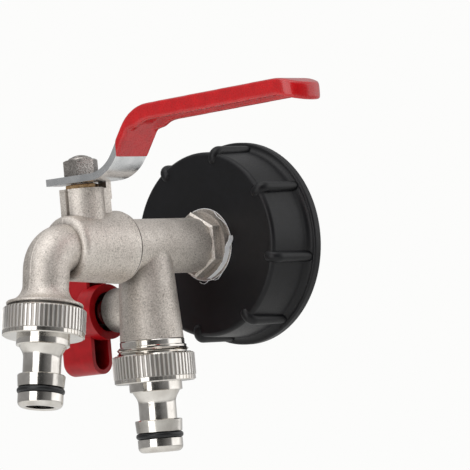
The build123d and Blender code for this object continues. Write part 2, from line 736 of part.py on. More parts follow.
# Turned end of the branch: spigot that holds the lower seat, collar and outlet thread
rear_plane = outlets["rear"]
adapter_top = branch_seat_low - rear_thread_z
adapter_collar_r = 11.6
adapter_shoulder = branch_base_z - rear_thread_z
with BuildPart() as branch_adapter:
    with BuildSketch(rear_plane):
        with BuildLine():
            Polyline(
                (branch_bore_r, adapter_top), (adapter_spigot_r, adapter_top),
                (adapter_spigot_r, adapter_shoulder),
                (adapter_collar_r - 0.3, adapter_shoulder), (adapter_collar_r, adapter_shoulder - 0.4),
                (adapter_collar_r, 1.9), (thread_root_r, 1.6), (thread_root_r, ring_top),
                (outlet_thread_r, ring_top - 0.4), (outlet_thread_r, outlet_thread_end + 0.8),
                (outlet_thread_r - 0.8, outlet_thread_end), (ball_bore_r, outlet_thread_end),
                (ball_bore_r, outlet_thread_end + 8), (branch_bore_r, outlet_thread_end + 9), close=True)
        make_face()
    revolve(axis=branch_axis)
write(branch_adapter, "branch_adapter")

# Both outlets: hose connector turned in one piece, its flat washer and its O-ring
ring_bore_r = outlet_thread_r + seat_gap
o_ring_r = 1.2
for side, plane in outlets.items():
    outlet_axis = Axis(plane.origin, plane.y_dir)
    with BuildPart() as connector:
        with BuildSketch(plane):
            with BuildLine():
                Polyline(
                    (ring_bore_r, ring_floor), (ring_bore_r, ring_top), (ring_r - ring_chamfer, ring_top),
                    (ring_r, ring_top - ring_chamfer), (ring_r, ring_end + 0.4), (ring_r - 0.4, ring_end),
                    (nose_collar_r, ring_end),
                    (nose_collar_r, nose_collar_end + 0.2), (nose_collar_r - 0.3, nose_collar_end),
                    (nose_collar_r - 1.0, nose_collar_end))
                Spline(
                    (nose_collar_r - 1.0, nose_collar_end), (nose_neck_r, nose_neck_start),
                    tangents=((-0.45, -1), (0, -1)))
                Polyline(
                    (nose_neck_r, nose_neck_start), (nose_neck_r, nose_bulge_top),
                    (nose_bulge_r - 0.3, nose_bulge_top), (nose_bulge_r, nose_bulge_top - 0.3),
                    (nose_bulge_r - 0.3, groove_top), (groove_r, groove_top), (groove_r, groove_end),
                    (nose_tip_r, groove_end), (nose_tip_r, nose_end + nose_tip_round))
                RadiusArc(
                    (nose_tip_r, nose_end + nose_tip_round), (nose_tip_r - nose_tip_round, nose_end),
                    nose_tip_round)
                Polyline(
                    (nose_tip_r - nose_tip_round, nose_end), (nose_bore_r + 0.5, nose_end),
                    (nose_bore_r, nose_end + 0.5),
                    (nose_bore_r, ring_floor), (ring_bore_r, ring_floor))
            make_face()
        revolve(axis=outlet_axis)
    write(connector, f"hose_connector_{side}")
    washer = square_ring(plane, nose_bore_r + 1.6, outlet_thread_r - 0.1, ring_floor, outlet_thread_end)
    write(washer, f"outlet_washer_{side}")
    with BuildPart() as o_ring:
        with BuildSketch(plane):
            with Locations((groove_r + o_ring_r, (groove_top + groove_end) / 2)):
                Circle(o_ring_r)
        revolve(axis=outlet_axis)
    write(o_ring, f"nose_o_ring_{side}")
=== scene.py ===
from math import cos, pi, radians, sin

import bmesh
import bpy
from mathutils import Matrix, Vector


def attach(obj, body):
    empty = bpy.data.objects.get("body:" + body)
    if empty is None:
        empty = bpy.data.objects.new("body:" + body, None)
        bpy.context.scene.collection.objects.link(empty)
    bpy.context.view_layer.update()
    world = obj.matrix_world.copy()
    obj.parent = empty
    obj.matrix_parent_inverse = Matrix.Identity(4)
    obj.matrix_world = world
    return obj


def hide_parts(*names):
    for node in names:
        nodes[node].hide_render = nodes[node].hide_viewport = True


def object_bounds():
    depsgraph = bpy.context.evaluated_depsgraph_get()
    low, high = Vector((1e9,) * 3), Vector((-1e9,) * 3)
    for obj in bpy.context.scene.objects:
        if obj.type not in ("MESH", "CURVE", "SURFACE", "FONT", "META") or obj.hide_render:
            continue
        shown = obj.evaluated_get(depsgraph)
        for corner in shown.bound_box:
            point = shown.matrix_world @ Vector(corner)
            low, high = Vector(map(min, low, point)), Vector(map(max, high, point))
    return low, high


# Twin-outlet ball-valve tap on a black screw cap: the finish of every surface,
# the knurls, thread turns, tape and dipped grip, the studio and the camera.

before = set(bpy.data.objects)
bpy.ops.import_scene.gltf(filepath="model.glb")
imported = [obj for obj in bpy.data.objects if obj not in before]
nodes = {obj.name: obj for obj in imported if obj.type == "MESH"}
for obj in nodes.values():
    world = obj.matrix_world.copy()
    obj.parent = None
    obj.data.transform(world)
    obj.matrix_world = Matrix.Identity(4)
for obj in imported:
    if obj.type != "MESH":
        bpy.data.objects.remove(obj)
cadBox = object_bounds()
print("frame loaded:", len(nodes), "nodes")

mm = 0.001


def srgb(code):
    # A hex colour as the eye sees it, turned to linear light
    parts = [int(code[i:i + 2], 16) / 255 for i in (1, 3, 5)]
    return [c / 12.92 if c <= 0.04045 else ((c + 0.055) / 1.055) ** 2.4 for c in parts] + [1.0]


def setSockets(tree, node, sockets):
    # Links what is a socket of another node, and sets what is a plain value
    for name, value in sockets.items():
        if isinstance(value, bpy.types.NodeSocket):
            tree.links.new(value, node.inputs[name])
        else:
            node.inputs[name].default_value = value


def addNode(tree, kind, props={}, sockets={}):
    # In a colour Mix node, sockets 6 and 7 are the two colours and output 2 is their mix
    node = tree.nodes.new(kind)
    for name, value in props.items():
        setattr(node, name, value)
    setSockets(tree, node, sockets)
    return node


def newMaterial(name):
    material = bpy.data.materials.new(name)
    material.use_nodes = True
    tree = material.node_tree
    shader = tree.nodes["Principled BSDF"]
    coords = addNode(tree, "ShaderNodeTexCoord").outputs["Object"]
    return material, tree, shader, coords


def perMm(size):
    # Scale of a noise on Object coordinates whose features are this many millimetres
    return 1 / (size * mm)


def setRamp(node, stops):
    ramp = node.color_ramp
    while len(ramp.elements) < len(stops):
        ramp.elements.new(0.5)
    for element, (place, colour) in zip(ramp.elements, stops):
        element.position = place
        element.color = colour


def dress(material, *names):
    for name in names:
        node = nodes[name]
        node.data.materials.clear()
        node.data.materials.append(material)


# Forged metal, sizes and places in millimetres; body is blasted and nut is tumbled. Real blasting marks are
# finer than grain and speck, which are as coarse as they need to be to show.
forging = {
    # seamsAndBossShade switches on the flash line, the seam groove and the painted shade on the boss
    "body": {"tones": ("#6E6660", "#CBC3BB", "#F8F2EB"), "rough": (0.44, 0.64), "seamsAndBossShade": 1.0},
    "nut": {"tones": ("#59544F", "#A09A95", "#E0DAD4"), "rough": (0.2, 0.34), "seamsAndBossShade": 0.0},
    "toneAt": (0.36, 0.56, 0.86), "bump": 0.08,
    "grain": 0.34, "speck": 0.55, "blotch": 8.0, "blotchShare": 0.28,
    "flashEdge": (0.56, 0.21), "flashHeight": 1.2,                   # distances from the flash line
    "pit": 0.9, "pitFrom": (0.68, 0.78), "pitDirt": 0.5,
    "seam": -68.6, "seamEdge": (0.63, 0.21), "seamDirt": 0.95,       # Y of the joint, distances from it
    # corner, cornerOpen and cornerShade: painted shade in the inside corners, reach in millimetres
    "corner": 10.0, "cornerOpen": (0.2, 0.82), "cornerShade": 0.72,
    # bossFade, bossTop and bossShade: painted shade on the low boss beside its handle
    "bossFade": (-8.5, -15.5), "bossTop": -11.5, "bossShade": 0.82,   # X along the low boss, Z just over it
    "dirtAndShadeColour": "#1E1A17"}


def makeForgedNickel(name, look):
    # Hot-forged brass, sand-blasted and nickel plated: warm grey, a fine sparkle and a soft sheen
    material, tree, shader, coords = newMaterial(name)
    grain = addNode(tree, "ShaderNodeTexNoise", {}, {
        "Vector": coords, "Scale": perMm(forging["grain"]), "Detail": 2.0, "Roughness": 0.6})
    speck = addNode(tree, "ShaderNodeTexNoise", {}, {
        "Vector": coords, "Scale": perMm(forging["speck"]), "Detail": 4.0, "Roughness": 0.75})
    blotch = addNode(tree, "ShaderNodeTexNoise", {}, {
        "Vector": coords, "Scale": perMm(forging["blotch"]), "Detail": 3.0, "Roughness": 0.5})
    cloud = addNode(tree, "ShaderNodeMath", {"operation": "MULTIPLY_ADD"}, {
        0: blotch.outputs["Fac"], 1: forging["blotchShare"], 2: speck.outputs["Fac"]})
    colour = addNode(tree, "ShaderNodeValToRGB", {}, {"Fac": cloud.outputs[0]})
    setRamp(colour, [(place, srgb(tone)) for place, tone in zip(forging["toneAt"], look["tones"])])
    rough = addNode(tree, "ShaderNodeMapRange", {}, {
        "Value": grain.outputs["Fac"], "From Min": 0.3, "From Max": 0.7,
        "To Min": look["rough"][0], "To Max": look["rough"][1]})
    # Trimmed flash line of the dies, down the middle of the body
    split = addNode(tree, "ShaderNodeSeparateXYZ", {}, {"Vector": coords})
    away = addNode(tree, "ShaderNodeMath", {"operation": "ABSOLUTE"}, {0: split.outputs["X"]})
    flash = addNode(tree, "ShaderNodeMapRange", {"interpolation_type": "SMOOTHSTEP"}, {
        "Value": away.outputs[0],
        "From Min": forging["flashEdge"][0] * mm, "From Max": forging["flashEdge"][1] * mm,
        "To Min": 0.0, "To Max": forging["flashHeight"] * look["seamsAndBossShade"]})
    height = addNode(tree, "ShaderNodeMath", {"operation": "ADD"}, {
        0: flash.outputs[0], 1: grain.outputs["Fac"]})
    bump = addNode(tree, "ShaderNodeBump", {}, {
        "Height": height.outputs[0], "Strength": 0.8, "Distance": forging["bump"] * mm})
    # Small dark pits, and the dirt that gathers in the groove between the two bodies
    pit = addNode(tree, "ShaderNodeTexNoise", {}, {
        "Vector": coords, "Scale": perMm(forging["pit"]), "Detail": 1.0})
    hole = addNode(tree, "ShaderNodeMapRange", {}, {
        "Value": pit.outputs["Fac"], "From Min": forging["pitFrom"][0], "From Max": forging["pitFrom"][1],
        "To Min": 0.0, "To Max": forging["pitDirt"]})
    offSeam = addNode(tree, "ShaderNodeMath", {"operation": "SUBTRACT"}, {
        0: split.outputs["Y"], 1: forging["seam"] * mm})
    distance = addNode(tree, "ShaderNodeMath", {"operation": "ABSOLUTE"}, {0: offSeam.outputs[0]})
    groove = addNode(tree, "ShaderNodeMapRange", {"interpolation_type": "SMOOTHSTEP"}, {
        "Value": distance.outputs[0],
        "From Min": forging["seamEdge"][0] * mm, "From Max": forging["seamEdge"][1] * mm,
        "To Min": 0.0, "To Max": forging["seamDirt"] * look["seamsAndBossShade"]})
    marks = addNode(tree, "ShaderNodeMath", {"operation": "MAXIMUM"}, {
        0: hole.outputs[0], 1: groove.outputs[0]})
    # Painted shade: darker in the inside corners, as far as the occlusion finds them closed in
    exposed = addNode(tree, "ShaderNodeAmbientOcclusion", {"samples": 8}, {
        "Distance": forging["corner"] * mm})
    corner = addNode(tree, "ShaderNodeMapRange", {}, {
        "Value": exposed.outputs["AO"],
        "From Min": forging["cornerOpen"][0], "From Max": forging["cornerOpen"][1],
        "To Min": forging["cornerShade"], "To Max": 0.0})
    # Painted shade: the low boss is painted darkest beside its handle, where the handle shades it
    handleShade = addNode(tree, "ShaderNodeMapRange", {"interpolation_type": "SMOOTHSTEP"}, {
        "Value": split.outputs["X"],
        "From Min": forging["bossFade"][0] * mm, "From Max": forging["bossFade"][1] * mm,
        "To Min": 0.0, "To Max": forging["bossShade"] * look["seamsAndBossShade"]})
    low = addNode(tree, "ShaderNodeMath", {"operation": "LESS_THAN"}, {
        0: split.outputs["Z"], 1: forging["bossTop"] * mm})
    behind = addNode(tree, "ShaderNodeMath", {"operation": "GREATER_THAN"}, {
        0: split.outputs["Y"], 1: forging["seam"] * mm})
    there = addNode(tree, "ShaderNodeMath", {"operation": "MULTIPLY"}, {
        0: low.outputs[0], 1: behind.outputs[0]})
    shaded = addNode(tree, "ShaderNodeMath", {"operation": "MULTIPLY_ADD"}, {
        0: handleShade.outputs[0], 1: there.outputs[0], 2: corner.outputs[0]})
    # Real pits and seam dirt, together with the painted shade of the corners and the boss, in one dark
    # colour
    dirtAndShadeAmount = addNode(tree, "ShaderNodeMath", {"operation": "MAXIMUM"}, {
        0: marks.outputs[0], 1: shaded.outputs[0]})
    dirtiedAndShaded = addNode(tree, "ShaderNodeMix", {"data_type": "RGBA"}, {
        "Factor": dirtAndShadeAmount.outputs[0], 6: colour.outputs["Color"], 7: srgb(forging["dirtAndShadeColour"])})
    setSockets(tree, shader, {
        "Base Color": dirtiedAndShaded.outputs[2], "Roughness": rough.outputs[0], "Normal": bump.outputs["Normal"],
        "Metallic": 1.0})
    return material


# Where the two outlets are: middle of each joint face in millimetres, tilt about X in degrees
outlets = {"rear": {"place": (0, -54.3, -37.6), "tilt": 0.0},
           "front": {"place": (0, -107.264, -19.967), "tilt": -10.4}}

# Turned and plated metal. Height and radius of the knurled band, and the radii of its valleys and ridges,
# are in millimetres; line is coarser than a real tool mark, so that it shows. The valley and ridge colours
# are painted shade in the knurl's valleys and painted highlight on its ridges.
turned = {"line": 0.22, "lineStretch": 0.04, "patch": 6.0, "bump": 0.0015, "rough": (0.07, 0.15),
          "dark": "#D2CDC6", "light": "#EEEAE4",
          "knurlTop": -1.5, "knurlFoot": -9.55, "knurlFrom": 14.2, "knurlTo": 20.0,
          "knurlGrain": 0.4, "knurlBump": 0.05, "knurlMatt": 0.26,
          "valleyShade": ("#A8A39E", 14.36), "ridgeHighlight": ("#F4F1ED", 14.66)}


def band(tree, value, low, high):
    # 1 where the value lies between two places in millimetres, 0 elsewhere
    after = addNode(tree, "ShaderNodeMath", {"operation": "GREATER_THAN"}, {0: value, 1: low * mm})
    before = addNode(tree, "ShaderNodeMath", {"operation": "LESS_THAN"}, {0: value, 1: high * mm})
    both = addNode(tree, "ShaderNodeMath", {"operation": "MULTIPLY"}, {
        0: after.outputs[0], 1: before.outputs[0]})
    return both.outputs[0]


def makeTurnedNickel(name, outlet):
    # Brass turned on a lathe and bright nickel plated: mirror streaks, and a grainy knurl on the ring
    material, tree, shader, coords = newMaterial(name)
    local = addNode(tree, "ShaderNodeMapping", {"vector_type": "TEXTURE"}, {
        "Vector": coords, "Location": Vector(outlet["place"]) * mm,
        "Rotation": (radians(outlet["tilt"]), 0, 0)})
    stretched = addNode(tree, "ShaderNodeVectorMath", {"operation": "MULTIPLY"}, {
        0: local.outputs[0], 1: (turned["lineStretch"], turned["lineStretch"], 1.0)})
    rings = addNode(tree, "ShaderNodeTexNoise", {}, {
        "Vector": stretched.outputs[0], "Scale": perMm(turned["line"]), "Detail": 2.0})
    patch = addNode(tree, "ShaderNodeTexNoise", {}, {
        "Vector": coords, "Scale": perMm(turned["patch"]), "Detail": 4.0})
    colour = addNode(tree, "ShaderNodeValToRGB", {}, {"Fac": patch.outputs["Fac"]})
    setRamp(colour, [(0.35, srgb(turned["dark"])), (0.65, srgb(turned["light"]))])
    rough = addNode(tree, "ShaderNodeMapRange", {}, {
        "Value": patch.outputs["Fac"], "From Min": 0.3, "From Max": 0.7,
        "To Min": turned["rough"][0], "To Max": turned["rough"][1]})
    # The knurled part of the ring, told by its height and its distance from the axis
    parts = addNode(tree, "ShaderNodeSeparateXYZ", {}, {"Vector": local.outputs[0]})
    flat = addNode(tree, "ShaderNodeCombineXYZ", {}, {"X": parts.outputs["X"], "Y": parts.outputs["Y"]})
    away = addNode(tree, "ShaderNodeVectorMath", {"operation": "LENGTH"}, {0: flat.outputs[0]})
    knurled = addNode(tree, "ShaderNodeMath", {"operation": "MULTIPLY"}, {
        0: band(tree, parts.outputs["Z"], turned["knurlFoot"], turned["knurlTop"]),
        1: band(tree, away.outputs["Value"], turned["knurlFrom"], turned["knurlTo"])})
    grain = addNode(tree, "ShaderNodeTexNoise", {}, {
        "Vector": coords, "Scale": perMm(turned["knurlGrain"]), "Detail": 2.0})
    sand = addNode(tree, "ShaderNodeMath", {"operation": "MULTIPLY"}, {
        0: grain.outputs["Fac"], 1: turned["knurlBump"] / turned["bump"]})
    height = addNode(tree, "ShaderNodeMath", {"operation": "MULTIPLY_ADD"}, {
        0: sand.outputs[0], 1: knurled.outputs[0], 2: rings.outputs["Fac"]})
    bump = addNode(tree, "ShaderNodeBump", {}, {
        "Height": height.outputs[0], "Strength": 0.6, "Distance": turned["bump"] * mm})
    # Painted shade in the knurl's valleys and painted highlight on its ridges, by distance from the axis
    deep = addNode(tree, "ShaderNodeMapRange", {}, {
        "Value": away.outputs["Value"],
        "From Min": turned["valleyShade"][1] * mm, "From Max": turned["ridgeHighlight"][1] * mm,
        "To Min": 0.0, "To Max": 1.0})
    knurlShadeAndHighlight = addNode(tree, "ShaderNodeValToRGB", {}, {"Fac": deep.outputs[0]})
    setRamp(knurlShadeAndHighlight, [(0.0, srgb(turned["valleyShade"][0])), (1.0, srgb(turned["ridgeHighlight"][0]))])
    finishWithKnurlShade = addNode(tree, "ShaderNodeMix", {"data_type": "RGBA"}, {
        "Factor": knurled.outputs[0], 6: colour.outputs["Color"], 7: knurlShadeAndHighlight.outputs["Color"]})
    matt = addNode(tree, "ShaderNodeMath", {"operation": "MULTIPLY_ADD"}, {
        0: knurled.outputs[0], 1: turned["knurlMatt"], 2: rough.outputs[0]})
    setSockets(tree, shader, {
        "Base Color": finishWithKnurlShade.outputs[2], "Roughness": matt.outputs[0], "Normal": bump.outputs["Normal"],
        "Metallic": 1.0})
    return material


zinc = {"grain": 2.4, "patch": 6.0, "bump": 0.0015, "rough": (0.2, 0.28),
        "dark": "#DADCDE", "light": "#F4F5F6"}


def makeZincSteel():
    # Pressed steel, bright zinc plated: cool grey, slightly cloudy
    material, tree, shader, coords = newMaterial("zincPlatedPressedSteel")
    grain = addNode(tree, "ShaderNodeTexNoise", {}, {
        "Vector": coords, "Scale": perMm(zinc["grain"]), "Detail": 3.0})
    patch = addNode(tree, "ShaderNodeTexNoise", {}, {
        "Vector": coords, "Scale": perMm(zinc["patch"]), "Detail": 3.0})
    colour = addNode(tree, "ShaderNodeValToRGB", {}, {"Fac": patch.outputs["Fac"]})
    setRamp(colour, [(0.3, srgb(zinc["dark"])), (0.7, srgb(zinc["light"]))])
    rough = addNode(tree, "ShaderNodeMapRange", {}, {
        "Value": grain.outputs["Fac"], "From Min": 0.3, "From Max": 0.7,
        "To Min": zinc["rough"][0], "To Max": zinc["rough"][1]})
    bump = addNode(tree, "ShaderNodeBump", {}, {
        "Height": grain.outputs["Fac"], "Strength": 0.6, "Distance": zinc["bump"] * mm})
    setSockets(tree, shader, {
        "Base Color": colour.outputs["Color"], "Roughness": rough.outputs[0],
        "Normal": bump.outputs["Normal"], "Metallic": 1.0})
    return material


bareBrass = {"patch": 2.5, "rough": (0.16, 0.32), "dark": "#A87A45", "light": "#F2CFA2"}


def makeBrass():
    # Bare machined brass: yellow with a little brown tarnish
    material, tree, shader, coords = newMaterial("machinedBrass")
    patch = addNode(tree, "ShaderNodeTexNoise", {}, {
        "Vector": coords, "Scale": perMm(bareBrass["patch"]), "Detail": 4.0})
    colour = addNode(tree, "ShaderNodeValToRGB", {}, {"Fac": patch.outputs["Fac"]})
    setRamp(colour, [(0.3, srgb(bareBrass["dark"])), (0.7, srgb(bareBrass["light"]))])
    rough = addNode(tree, "ShaderNodeMapRange", {}, {
        "Value": patch.outputs["Fac"], "From Min": 0.3, "From Max": 0.7,
        "To Min": bareBrass["rough"][0], "To Max": bareBrass["rough"][1]})
    setSockets(tree, shader, {
        "Base Color": colour.outputs["Color"], "Roughness": rough.outputs[0], "Metallic": 1.0})
    return material


# Plastics, rubber and fibre. Width of the waves and height of the relief are in millimetres; shine is the
# strength of the reflection, and hollow the colour painted as shade where little light gets in.
plastics = {
    # PVC skin left by dipping: bright even red with a soft wet gloss
    "dippedRedVinyl": {"dark": "#BA030C", "light": "#CC0711", "rough": 0.28, "wave": 4.0, "bump": 0.01,
                       "coat": 0.5},
    # Satin deep red, with painted shade that makes it nearly black inside the cup round the stem
    "mouldedRedPolyamide": {"dark": "#9C0711", "light": "#B00C17", "rough": 0.34, "wave": 3.0, "bump": 0.02,
                            "shine": 0.4, "hollow": "#120203"},
    # Near black, with a broad dull sheen on the rounded edges
    "mouldedBlackPolypropylene": {"dark": "#07070A", "light": "#0D0D11", "rough": 0.4, "wave": 3.0,
                                  "bump": 0.02, "shine": 0.34},
    # Black, with a thin glint along each ring
    "mouldedNitrileRubber": {"dark": "#0D0E10", "light": "#161719", "rough": 0.34, "wave": 2.0,
                             "bump": 0.015},
    # PTFE: waxy white
    "turnedSealPlastic": {"dark": "#E2E2DE", "light": "#F0F0EC", "rough": 0.4, "wave": 2.0, "bump": 0.01},
    # PTFE film: dull bright white, slightly crinkled
    "unsinteredSealingTape": {"dark": "#F4F7FB", "light": "#FFFFFF", "rough": 0.45, "wave": 0.9,
                              "bump": 0.05},
    # Hard pressed paper: dull red brown
    "vulcanisedFibre": {"dark": "#4A2018", "light": "#5E2A1E", "rough": 0.6, "wave": 1.2, "bump": 0.03}}

# What all of them share: fine pattern as a share of the waves, spread of the roughness, coat, and how far
# (in millimetres) and how closed in a hollow has to be to take the painted shade
plasticSkin = {"fineShare": 0.16, "waveHeight": 2.0, "gloss": (0.85, 1.2), "coatRough": 0.06,
               "hollowReach": 9.0, "hollowOpen": (0.12, 0.6)}


def makePlastic(name):
    # Moulded or dipped plastic: even colour, slight waves and cloudy gloss
    look = plastics[name]
    material, tree, shader, coords = newMaterial(name)
    wave = addNode(tree, "ShaderNodeTexNoise", {}, {
        "Vector": coords, "Scale": perMm(look["wave"]), "Detail": 2.0})
    fine = addNode(tree, "ShaderNodeTexNoise", {}, {
        "Vector": coords, "Scale": perMm(look["wave"] * plasticSkin["fineShare"]), "Detail": 3.0})
    colour = addNode(tree, "ShaderNodeValToRGB", {}, {"Fac": wave.outputs["Fac"]})
    setRamp(colour, [(0.3, srgb(look["dark"])), (0.7, srgb(look["light"]))])
    gloss = addNode(tree, "ShaderNodeMapRange", {}, {
        "Value": fine.outputs["Fac"], "From Min": 0.3, "From Max": 0.7,
        "To Min": look["rough"] * plasticSkin["gloss"][0],
        "To Max": look["rough"] * plasticSkin["gloss"][1]})
    height = addNode(tree, "ShaderNodeMath", {"operation": "MULTIPLY_ADD"}, {
        0: wave.outputs["Fac"], 1: plasticSkin["waveHeight"], 2: fine.outputs["Fac"]})
    relief = addNode(tree, "ShaderNodeBump", {}, {
        "Height": height.outputs[0], "Strength": 0.6, "Distance": look["bump"] * mm})
    shown = colour.outputs["Color"]
    # Painted shade: darker where the occlusion finds the surface closed in
    if "hollow" in look:
        exposed = addNode(tree, "ShaderNodeAmbientOcclusion", {"samples": 8}, {
            "Distance": plasticSkin["hollowReach"] * mm})
        share = addNode(tree, "ShaderNodeMapRange", {}, {
            "Value": exposed.outputs["AO"],
            "From Min": plasticSkin["hollowOpen"][0], "From Max": plasticSkin["hollowOpen"][1],
            "To Min": 0.0, "To Max": 1.0})
        hollow = addNode(tree, "ShaderNodeMix", {"data_type": "RGBA"}, {
            "Factor": share.outputs[0], 6: srgb(look["hollow"]), 7: shown})
        shown = hollow.outputs[2]
    setSockets(tree, shader, {
        "Base Color": shown, "Roughness": gloss.outputs[0], "Normal": relief.outputs["Normal"],
        "Coat Weight": look.get("coat", 0.0), "Coat Roughness": plasticSkin["coatRough"],
        "Specular IOR Level": look.get("shine", 0.5)})
    return material


forgedNickel = makeForgedNickel("sandBlastedNickelOnForgedBrass", forging["body"])
tumbledNickel = makeForgedNickel("tumbledNickelOnSteel", forging["nut"])
uprightNickel = makeTurnedNickel("turnedBrightNickelUpright", outlets["rear"])
tiltedNickel = makeTurnedNickel("turnedBrightNickelTilted", outlets["front"])
zincSteel = makeZincSteel()
brass = makeBrass()
vinyl = makePlastic("dippedRedVinyl")
redMoulding = makePlastic("mouldedRedPolyamide")
blackMoulding = makePlastic("mouldedBlackPolypropylene")
nitrile = makePlastic("mouldedNitrileRubber")
sealPlastic = makePlastic("turnedSealPlastic")
tapeFilm = makePlastic("unsinteredSealingTape")
fibre = makePlastic("vulcanisedFibre")

dress(forgedNickel, "rear_body", "front_body")
dress(tumbledNickel, "main_stem", "lever_nut")
dress(uprightNickel, "branch_adapter", "hose_connector_rear", "main_ball", "branch_ball", "branch_stem")
dress(tiltedNickel, "hose_connector_front")
dress(zincSteel, "lever_plate", "handle_screw")
dress(brass, "stem_gland", "branch_gland")
dress(vinyl, "lever_grip")
dress(redMoulding, "butterfly_handle")
dress(blackMoulding, "tank_cap")
dress(nitrile, "cap_gasket", "outlet_washer_front", "outlet_washer_rear", "nose_o_ring_front",
      "nose_o_ring_rear")
dress(sealPlastic, "inlet_ball_seat", "outlet_ball_seat", "stem_packing", "branch_upper_seat",
      "branch_lower_seat", "branch_packing")
dress(tapeFilm, "thread_tape")
dress(fibre, "body_joint_seal")
print("materials set")


def newTree(name, sizes):
    # Geometry tree: a mesh in, named sizes, a mesh out
    tree = bpy.data.node_groups.new(name, "GeometryNodeTree")
    tree.interface.new_socket("Geometry", in_out="INPUT", socket_type="NodeSocketGeometry")
    for size, kind in sizes.items():
        tree.interface.new_socket(size, in_out="INPUT", socket_type="NodeSocket" + kind)
    tree.interface.new_socket("Geometry", in_out="OUTPUT", socket_type="NodeSocketGeometry")
    return tree, addNode(tree, "NodeGroupInput").outputs


def endTree(tree, sizes, shape, material):
    # Made real, set in place at its outlet and given its material
    real = addNode(tree, "GeometryNodeRealizeInstances", {}, {"Geometry": shape})
    placed = addNode(tree, "GeometryNodeTransform", {}, {
        "Geometry": real.outputs[0], "Translation": sizes["Place"], "Rotation": sizes["Tilt"]})
    covered = addNode(tree, "GeometryNodeSetMaterial", {}, {
        "Geometry": placed.outputs[0], "Material": material})
    addNode(tree, "NodeGroupOutput", {}, {"Geometry": covered.outputs[0]})


def growMesh(name, seed, tree, values):
    # Runs the tree on a mesh and keeps the plain result
    piece = bpy.data.objects.new(name, seed)
    bpy.context.collection.objects.link(piece)
    modifier = piece.modifiers.new("grow", "NODES")
    modifier.node_group = tree
    for socket in tree.interface.items_tree:
        if socket.name in values:
            modifier[socket.identifier] = values[socket.name]
    ready = piece.evaluated_get(bpy.context.evaluated_depsgraph_get())
    plain = bpy.data.meshes.new_from_object(ready)
    piece.modifiers.remove(modifier)
    piece.data = plain
    plain.name = name
    return piece


def plainMesh(name, shape):
    bmesh.ops.recalc_face_normals(shape, faces=shape.faces)
    mesh = bpy.data.meshes.new(name)
    shape.to_mesh(mesh)
    shape.free()
    return mesh


# Knurl of a ring, in millimetres: number of ridges, and of each row how far they stand out, how wide they
# are at the base and crest, and where they start and end below the face. Foot is the low flats under them.
knurl = {"ridges": 56, "ring": 14.35, "sunk": 0.35, "widest": 1.05, "uneven": 0.12, "seed": 7,
         "endWidth": 0.9, "lowSlope": 0.4,      # shares of the base and of the slope at a ridge's ends
         "rows": {"": {"proud": 0.45, "base": 1.06, "crest": 0.5,
                       "top": -1.75, "bottom": -9.5, "slope": 0.5},
                  "Foot": {"proud": 0.2, "base": 1.42, "crest": 1.3,
                           "top": -9.5, "bottom": -10.95, "slope": 0.05}}}


def makeRidge(row):
    # One straight ridge, sloped off at both ends
    ends = [(row["top"] + row["slope"], 0.0), (row["top"], row["proud"]),
            (row["bottom"] + row["slope"] * knurl["lowSlope"], row["proud"]), (row["bottom"], 0.0)]
    shape = bmesh.new()
    rings = []
    for height, out in ends:
        wide = row["base"] / 2
        narrow = (row["crest"] if out else row["base"] * knurl["endWidth"]) / 2
        corners = [(-knurl["sunk"], -wide), (-knurl["sunk"], wide), (out, narrow), (out, -narrow)]
        rings.append([shape.verts.new((x * mm, y * mm, height * mm)) for x, y in corners])
    for upper, lower in zip(rings, rings[1:]):
        for k in range(4):
            shape.faces.new((upper[k], upper[(k + 1) % 4], lower[(k + 1) % 4], lower[k]))
    shape.faces.new(rings[0])
    shape.faces.new(rings[-1])
    return plainMesh("knurlRidge", shape)


def makeKnurl(name, outlet, row, material):
    # The ridge set round a circle, each a little narrower or wider than the next
    tree, sizes = newTree("knurlTree", {
        "Ridges": "Int", "Radius": "Float", "Uneven": "Float", "Place": "Vector", "Tilt": "Vector"})
    circle = addNode(tree, "GeometryNodeMeshCircle", {}, {
        "Vertices": sizes["Ridges"], "Radius": sizes["Radius"]})
    outward = addNode(tree, "GeometryNodeInputPosition")
    facing = addNode(tree, "FunctionNodeAlignRotationToVector", {"axis": "X", "pivot_axis": "Z"}, {
        "Vector": outward.outputs[0]})
    width = addNode(tree, "FunctionNodeRandomValue", {"data_type": "FLOAT"}, {"Seed": knurl["seed"]})
    narrower = addNode(tree, "ShaderNodeMath", {"operation": "MULTIPLY"}, {
        0: width.outputs[1], 1: sizes["Uneven"]})
    share = addNode(tree, "ShaderNodeMath", {"operation": "SUBTRACT"}, {
        0: knurl["widest"], 1: narrower.outputs[0]})
    scale = addNode(tree, "ShaderNodeCombineXYZ", {}, {"X": 1.0, "Y": share.outputs[0], "Z": 1.0})
    ridges = addNode(tree, "GeometryNodeInstanceOnPoints", {}, {
        "Points": circle.outputs[0], "Instance": sizes["Geometry"], "Rotation": facing.outputs[0],
        "Scale": scale.outputs[0]})
    endTree(tree, sizes, ridges.outputs[0], material)
    piece = growMesh(name, makeRidge(row), tree, {
        "Ridges": knurl["ridges"], "Radius": knurl["ring"] * mm, "Uneven": knurl["uneven"],
        "Place": Vector(outlet["place"]) * mm, "Tilt": (radians(outlet["tilt"]), 0, 0)})
    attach(piece, "tap_body")


# Thread turns seen above the rings, in millimetres; start is below the outlet's face
threads = {"rear": {"root": 12.15, "crest": 0.72, "start": -1.2, "rise": 2.4, "turns": 1.6, "steps": 96},
           "front": {"root": 12.1, "crest": 0.5, "start": -1.1, "rise": 0.7, "turns": 1.0, "steps": 96}}


